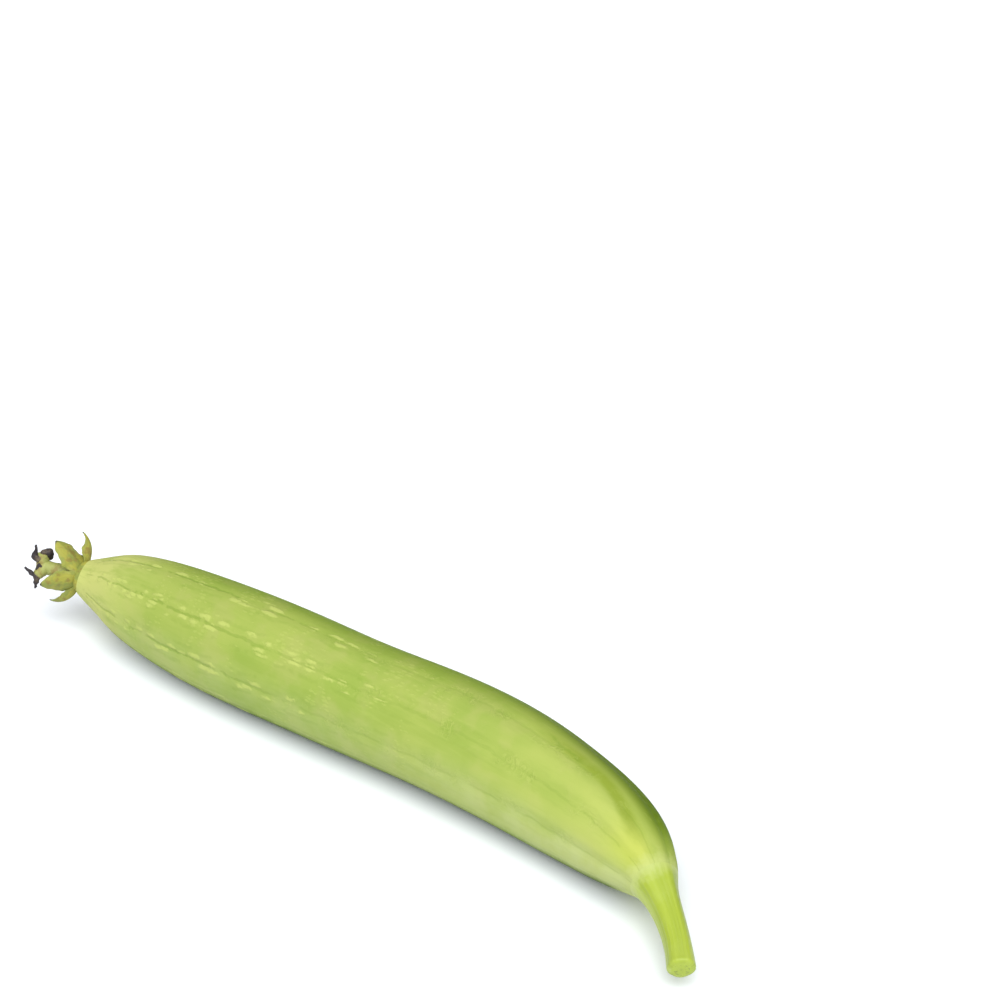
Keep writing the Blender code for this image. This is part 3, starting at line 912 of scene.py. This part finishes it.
def make_skin(s):
    """Waxy green skin: mottled, with fine lines in the grooves, flecks beside them, and ridges near the stem."""
    made, tree, place, around, along = new_material("gourd_skin")
    across = scaled(tree, around, GROOVES, -FIRST_GROOVE / (2 * math.pi) * GROOVES)
    off_line = off_nearest(tree, across)
    now, streaks = skin_mottling(tree, s, place)
    now = skin_near_stem(tree, s, now, place, around, along, off_line)
    now = skin_back(tree, s, now, place, around, along)
    now = skin_ends(tree, s, now, streaks, place, around, along)
    faint = lines_on(tree, place, scaled(tree, across, 2.0, 0.5), 0.03, 0.12, 0.6, 0.55)
    lines = lines_on(tree, place, across, s.line_width, 0.035, 0.22, 0.5, 120.0)
    lines = product(tree, lines, span(tree, along, (0.01, 0.06), (0.34, 0.50, 1.0, 0.36)))
    curl_zone = product(tree, eased(tree, off_line, 0.32, 0.12), span(tree, along, (0.40, 0.52), (0.92, 0.80)))
    curl_zone = product(tree, curl_zone, patches(tree, place, 80.0, 0.45, 0.60))
    # Painted shade and highlight: the curls are painted a little darker and the crests beside them paler, so the
    # wrinkles look raised.
    curl_noise = noise_on(tree, place, 250.0, 2.0, 0.5, 1.6)
    curls = product(tree, curl_zone, band_on(tree, curl_noise, 0.49, 0.05, 0.01))
    crests_and_highlights = product(tree, curl_zone, band_on(tree, curl_noise, 0.57, 0.05, 0.01))
    cells = cells_on(tree, across, along, *FLECK_CELLS)
    thinned = scaled(tree, band_on(tree, around, *FEW_FLECKS_BAND), -0.45, 1.0)
    size = product(tree, span(tree, off_line, (0.0, 0.05), (0.26, 0.13)), thinned, s.fleck_size)
    size = product(tree, size, span(tree, along, (0.02, 0.07), (0.64, 0.30)))
    flecks = use_group(tree, "flecks", Vector=cells, Position=place, Size=size, Softness=0.28, Shape=0.75)
    pin_cells = on_vector(tree, "MULTIPLY", cells, (2.3, 2.9, 1.0))
    pin_size = product(tree, patches(tree, place, 60.0, 0.5, 0.62), eased(tree, along, 0.66, 0.52), 0.3)
    pins = use_group(tree, "flecks", Vector=pin_cells, Position=place, Size=pin_size, Softness=0.25)
    coats = (
        (s.line_green, faint, eased(tree, along, 0.45, 0.65, 0.14, 0.05)),
        (s.line_green, lines, 0.38),
        # Painted shade on the curls and painted highlight on the crests.
        (s.line_green, curls, 0.11),
        (s.fleck_pale, crests_and_highlights, 0.22),
        (s.fleck_pale, flecks, 0.68),
        (s.fleck_pale, pins, 0.22),
    )
    now = painted(tree, now, *coats)
    grain = use_group(tree, "fine_grain", Vector=place, Scale=700.0)
    fine = ((lines, -0.10), (curls, -0.04), (crests_and_highlights, 0.05), (flecks, 0.18), (pins, 0.06))
    height = relief(tree, (grain, 0.035), (noise_on(tree, place, 110.0, 2.0), 0.28), *fine)
    return finished(made, now, grain, (0.58, 0.70), 0.07, height, s.skin_relief)


def make_stem_finish(s):
    """Fresh green stem with pale fibres, a pale collar, and the dots of the bundles in its cut."""
    made, tree, place, around, along = new_material("stem_green")
    ribs = calculate(tree, "COSINE", product(tree, around, STEM_RIDGES * 2 * math.pi))
    fibres = lines_on(tree, place, product(tree, around, STEM_FIBRES), 0.10, 0.18, 0.9, 0.48)
    collar_end = product(tree, noise_on(tree, place, 420.0, 3.0), 0.26)
    size = product(tree, span(tree, along, (1.06, 1.12), (1.34, 1.26)), 0.36)
    cells = cells_on(tree, around, along, 9.0, 9.0)
    dots = use_group(tree, "flecks", Vector=cells, Position=place, Size=size, Shape=0.3)
    coats = (
        (s.facet_green_and_shade, eased(tree, ribs, 0.4, -0.8, 0.0, 0.3)),
        (s.fibre_pale, fibres, 0.1),
        (s.fibre_pale, band_on(tree, around, *PALE_FACET_BAND), 0.6),
        # Painted shade: one facet of the stem darker, towards the fruit, fading before the cut.
        (s.facet_green_and_shade, band_on(tree, around, *SHADED_FACET_BAND), eased(tree, along, 0.85, 0.45), 0.7),
        (s.fibre_pale, patches(tree, place, 160.0, 0.45, 0.7), 0.15),
        (s.collar_pale, eased(tree, along, collar_end, 0.0), collar_share(tree, around)),
        (s.cut_pale, eased(tree, along, 1.002, 1.03)),
        (s.bundle_dark, dots, 0.7),
    )
    grain_place = on_vector(tree, "MULTIPLY", place, (0.5, 1.0, 1.0))
    grain = use_group(tree, "fine_grain", Vector=grain_place, Scale=1300.0)
    height = relief(tree, (grain, 0.05), (fibres, 0.04), (dots, -0.15))
    return finished(made, painted(tree, s.stem_green, *coats), grain, (0.34, 0.46), 0.3, height)


def make_leaf(s, name, veined):
    """Drying calyx leaf: olive with papery brown patches, and on a blade also green edges, veins and a grey tip."""
    made, tree, place, around, along = new_material(name)
    grain = use_group(tree, "fine_grain", Vector=place, Scale=1800.0)
    bumps = [(grain, 0.12)]
    coats = [
        (s.leaf_green, patches(tree, place, 210.0, 0.42, 0.62)),
        (s.leaf_brown, patches(tree, place, 330.0, 0.52, 0.66, 4.0), 0.75),
    ]
    if veined:
        veins = lines_on(tree, place, product(tree, around, 8.0), 0.06, 0.2, 0.6, 0.35)
        bumps.append((veins, 0.04))
        coats += [
            (s.leaf_green, eased(tree, off_middle(tree, around, 0.5), 0.32, 0.5, 0.0, 0.6)),
            (s.leaf_green, veins, 0.15),
            (s.tip_grey, eased(tree, along, 0.92, 0.99)),
        ]
    return finished(made, painted(tree, s.leaf_olive, *coats), grain, (0.5, 0.68), 0.35, relief(tree, *bumps))


def make_style_finish(s):
    """Pale green column that dries to tan, with stigmas that wither to brown and black."""
    made, tree, place, _, _ = new_material("style_withered")
    withered = node(tree, "Attribute", attribute_name="withered").outputs["Fac"]
    patchy = calculate(tree, "SUBTRACT", noise_on(tree, place, 420.0, 3.0, 0.6), 0.5)
    dryness = scaled(tree, patchy, 0.9, withered)
    coats = (
        (s.column_tan, patches(tree, place, 320.0, 0.45, 0.65)),
        (s.withered_brown, eased(tree, dryness, 0.42, 0.62)),
        (s.withered_black, eased(tree, dryness, 0.60, 0.85)),
    )
    grain = use_group(tree, "fine_grain", Vector=place, Scale=1500.0)
    now = painted(tree, s.column_green, *coats)
    return finished(made, now, grain, (0.45, 0.7), 0.4, relief(tree, (grain, 0.25)))


class GOURD_OT_paint_kit(bpy.types.Operator):
    """Builds the node groups that the materials share"""

    bl_idname = "gourd.paint_kit"
    bl_label = "Shared node groups"

    def execute(self, context):
        make_line_group()
        make_fleck_group()
        make_patch_group()
        make_grain_group()
        return {"FINISHED"}


class GOURD_OT_fruit(bpy.types.Operator):
    """Models the grooved fruit with its flecked skin"""

    bl_idname = "gourd.fruit"
    bl_label = "Fruit"

    def execute(self, context):
        finish = make_skin(context.scene.gourd_fruit)
        depth = station_distances(FRUIT)[-1]
        middle = on_curve(FRUIT, [depth / 2])[0]
        piece = add_tube("fruit_skin", BLOSSOM_END + middle[:3], FRUIT_RADIUS, depth, *FRUIT_MESH, fruit_form)
        hand_over(piece, "fruit", finish)
        return {"FINISHED"}


class GOURD_OT_stem(bpy.types.Operator):
    """Models the ridged stem and its cut"""

    bl_idname = "gourd.stem"
    bl_label = "Stem"

    def execute(self, context):
        finish = make_stem_finish(context.scene.gourd_stem)
        depth = station_distances(FRUIT + STEM)[-1] - station_distances(FRUIT)[-1]
        *middle, radius = STEM[2]
        piece = add_tube("stem_bark", BLOSSOM_END + middle, radius, depth, *STEM_MESH, stem_form)
        hand_over(piece, "stem", finish)
        return {"FINISHED"}


class GOURD_OT_calyx(bpy.types.Operator):
    """Models the calyx cup and its five sepals"""

    bl_idname = "gourd.calyx"
    bl_label = "Calyx"

    def execute(self, context):
        s = context.scene.gourd_calyx
        centre, axis, _, _ = calyx_frame()
        middle = centre + axis * CALYX_LENGTH / 2
        cup = add_tube("calyx_cup", middle, CALYX_RADIUS, CALYX_LENGTH, *CUP_MESH, cup_form)
        crumple(cup, 0.0003, 0.002, "cup_wrinkles")
        hand_over(cup, "calyx", make_leaf(s, "calyx_cup_olive", veined=False))
        blades = [add_sepal(n, sepal, s.blade_thickness) for n, sepal in enumerate(SEPALS)]
        hand_over(join("calyx_sepals", blades), "calyx", make_leaf(s, "sepal_olive", veined=True))
        return {"FINISHED"}


class GOURD_OT_style(bpy.types.Operator):
    """Models the withered style and its stigmas"""

    bl_idname = "gourd.style"
    bl_label = "Style"

    def execute(self, context):
        s = context.scene.gourd_style
        finish = make_style_finish(s)
        limbs = [add_limb("style_column", STYLE, 0.04, (0.0, 0.1), s.crumple * 0.6, 0.0022)]
        for number, stations in enumerate(STALKS):
            limbs.append(add_limb(f"stalk_{number}", stations, 0.0, (0.0, 0.4), s.crumple * 0.5, 0.0016))
        for number, stations in enumerate(HORNS):
            limbs.append(add_limb(f"horn_{number}", stations, KNOT_SHARE, (0.55, 1.2), s.crumple, 0.0013))
        hand_over(join("style_withered", limbs), "style", finish)
        return {"FINISHED"}


class GOURD_OT_stage(bpy.types.Operator):
    """Sets up the white floor, the soft light and the camera"""

    bl_idname = "gourd.stage"
    bl_label = "Stage"

    def execute(self, context):
        s = context.scene.gourd_stage
        bpy.ops.object.select_all(action="DESELECT")
        bpy.ops.mesh.primitive_plane_add(size=s.floor_size, location=(0, 0, -0.0001))
        floor = context.object
        floor.name = "floor"
        white = bpy.data.materials.new("floor_white")
        white.use_nodes = True
        set_surface(white, {"Base Color": s.floor_white, "Roughness": 0.7, "Specular IOR Level": 0.2})
        floor.data.materials.append(white)
        add_key_light(s)
        add_sky(context.scene, s)
        add_camera(context.scene)
        context.scene.view_settings.view_transform = "Standard"
        return {"FINISHED"}


def add_key_light(s):
    """A wide soft light above the camera's side, the same over the whole floor."""
    bpy.ops.object.light_add(type="SUN", location=unit(KEY_WAY))
    key = bpy.context.object
    key.name = "key_light"
    key.data.angle = s.key_spread
    key.data.energy = s.key_strength
    key.rotation_euler = Matrix(look_matrix(KEY_WAY)).to_euler()


def look_matrix(towards):
    """The turn of a light that stands that way from the origin and looks back at it."""
    back = unit(towards)
    right = unit(np.cross(UP, back))
    return np.array((right, np.cross(back, right), back)).T.tolist()


def add_sky(scene, s):
    """White surroundings that fade towards the ground, and are dimmer on the far side from the camera."""
    world = bpy.data.worlds.new("studio")
    world.use_nodes = True
    tree = world.node_tree
    way = tree.nodes.new("ShaderNodeTexCoord").outputs["Generated"]
    front = node(tree, "VectorMath", ((0, way), (1, BRIGHT_WAY)), operation="DOT_PRODUCT").outputs["Value"]
    strength = eased(tree, front, -0.6, 0.6, s.back_sky, s.front_sky)
    height = node(tree, "SeparateXYZ", ((0, way),)).outputs[2]
    strength = product(tree, strength, eased(tree, height, 0.0, 0.7))
    seen = tree.nodes.new("ShaderNodeLightPath").outputs["Is Camera Ray"]
    strength = node(tree, "Mix", ((0, seen), (2, strength), (3, 1.0)), data_type="FLOAT").outputs[0]
    background = tree.nodes["Background"]
    background.inputs["Color"].default_value = (1, 1, 1, 1)
    feed(tree, background.inputs["Strength"], strength)
    scene.world = world


def add_camera(scene):
    """The camera at the photograph's viewing angle."""
    bpy.ops.object.camera_add(location=CAMERA_PLACE, rotation=CAMERA_TURN)
    camera = bpy.context.object
    camera.name = "camera"
    camera.data.lens, camera.data.sensor_width = CAMERA_LENS, CAMERA_SENSOR
    camera.data.clip_start = 0.01
    scene.camera = camera


class GOURD_PT_panel(bpy.types.Panel):
    """Lists the gourd's settings and the steps that build it"""

    bl_idname = "GOURD_PT_panel"
    bl_label = "Sponge Gourd"
    bl_space_type = "VIEW_3D"
    bl_region_type = "UI"
    bl_category = "Sponge Gourd"

    def draw(self, context):
        self.layout.operator(GOURD_OT_paint_kit.bl_idname)
        for step, group in STEPS:
            box = self.layout.box()
            box.operator(step.bl_idname)
            settings = getattr(context.scene, group)
            for name in settings.__annotations__:
                box.prop(settings, name)


SETTINGS = {
    "gourd_fruit": GOURD_PG_fruit,
    "gourd_stem": GOURD_PG_stem,
    "gourd_calyx": GOURD_PG_calyx,
    "gourd_style": GOURD_PG_style,
    "gourd_stage": GOURD_PG_stage,
}
STEPS = (
    (GOURD_OT_fruit, "gourd_fruit"),
    (GOURD_OT_stem, "gourd_stem"),
    (GOURD_OT_calyx, "gourd_calyx"),
    (GOURD_OT_style, "gourd_style"),
    (GOURD_OT_stage, "gourd_stage"),
)
CLASSES = (*SETTINGS.values(), GOURD_OT_paint_kit, *(step for step, _ in STEPS), GOURD_PT_panel)


def register():
    for kind in CLASSES:
        bpy.utils.register_class(kind)
    for name, kind in SETTINGS.items():
        setattr(bpy.types.Scene, name, bpy.props.PointerProperty(type=kind))


def unregister():
    for name in SETTINGS:
        delattr(bpy.types.Scene, name)
    for kind in reversed(CLASSES):
        bpy.utils.unregister_class(kind)


def main():
    """Builds the whole gourd and its stage."""
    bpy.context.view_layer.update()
    register()
    bpy.ops.gourd.paint_kit()
    bpy.ops.gourd.fruit()
    bpy.ops.gourd.stem()
    bpy.ops.gourd.calyx()
    bpy.ops.gourd.style()
    bpy.ops.gourd.stage()


if __name__ == "__main__":
    main()
